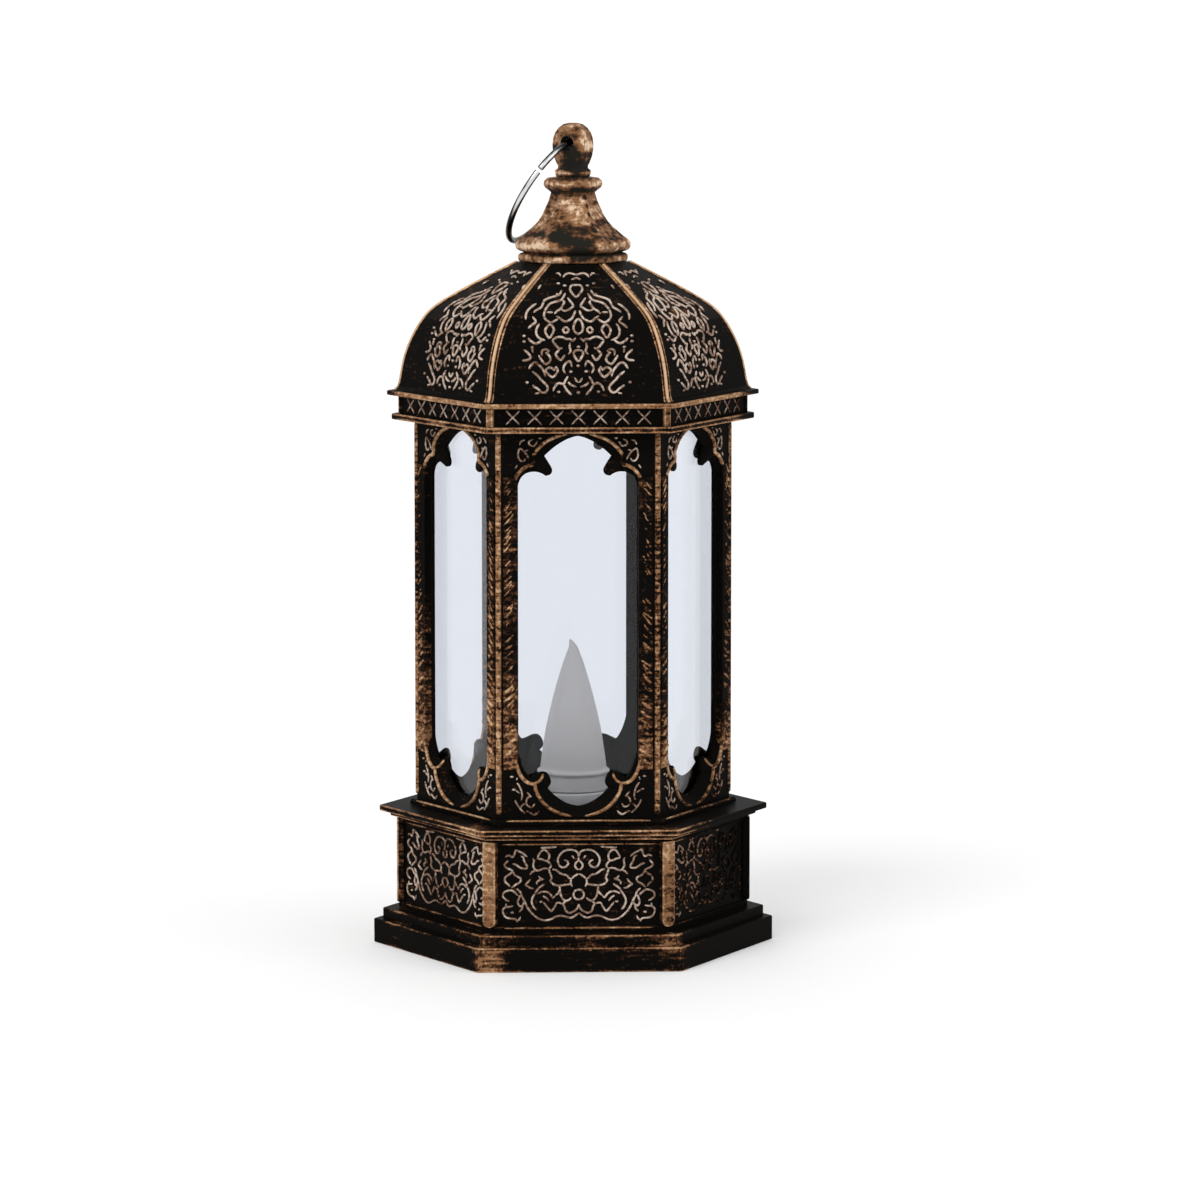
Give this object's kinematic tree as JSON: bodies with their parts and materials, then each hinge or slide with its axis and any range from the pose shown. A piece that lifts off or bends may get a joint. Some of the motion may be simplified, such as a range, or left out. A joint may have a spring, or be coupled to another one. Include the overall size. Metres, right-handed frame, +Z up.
{
  "type": "hanging lantern night light",
  "caption": "Hexagonal Moroccan-style lantern night light: ribbed dome, clear windows, frosted flame over an LED, coin-cell base with slide switch, and a swinging ring to hang it by",
  "frame": {"origin": "middle of the foot's underside, on the surface that the lantern stands on", "axes": "+Z up along the lantern's axis; -Y out of the window that faces the viewer; +X to the viewer's right, towards a corner of the hexagon"},
  "size_m": [0.066, 0.0572, 0.135],
  "materials": {
    "bronze_plastic": "satin black-brown moulding with warm copper rubbed over its raised edges",
    "black_plastic": "plain matt black",
    "clear_sheet": "clear flat plastic sheet",
    "frosted_plastic": "frosted translucent grey-white",
    "steel": "bright nickel",
    "contact_brass": "sprung strip",
    "board": "bare glass-fibre board",
    "diode_epoxy": "cast epoxy",
    "red_insulation": "wire insulation",
    "black_insulation": "wire insulation"
  },
  "bodies": {
    "lantern": {"plinth": "bronze_plastic", "cage": "bronze_plastic", "roof": "bronze_plastic", "spire": "bronze_plastic", "spire_screw": "steel", "base_plate": "black_plastic", "window_pane_1": "clear_sheet", "window_pane_2": "clear_sheet", "window_pane_3": "clear_sheet", "window_pane_4": "clear_sheet", "window_pane_5": "clear_sheet", "window_pane_6": "clear_sheet", "flame_lens": "frosted_plastic", "candle_sleeve": "frosted_plastic", "led": "diode_epoxy", "led_lead_plus": "steel", "led_lead_minus": "steel", "circuit_board": "board", "wire_red": "red_insulation", "wire_black": "black_insulation", "switch_body": "steel", "coin_cell": "steel", "negative_contact": "contact_brass", "positive_contact": "contact_brass", "plate_screw_1": "steel", "plate_screw_2": "steel", "plate_screw_3": "steel"},
    "ring": {"hanging_ring": "steel"},
    "switch": {"switch_slider": "black_plastic"},
    "cap": {"battery_cap": "black_plastic"}
  },
  "joints": [
    {"name": "ring_swing", "type": "hinge", "parent": "lantern", "child": "ring", "pos_m": [0, 0, 0.1318], "axis": [0.4019, 0.9157, 0], "range_deg": [-1, 297]},
    {"name": "switch_slide", "type": "slide", "parent": "lantern", "child": "switch", "axis": [1, 0, 0], "range_m": [0, 0.0025]},
    {"name": "cap_turn", "type": "hinge", "parent": "lantern", "child": "cap", "pos_m": [0, 0, 0.002], "axis": [0, 0, 1], "range_deg": [0, 60]}
  ]
}
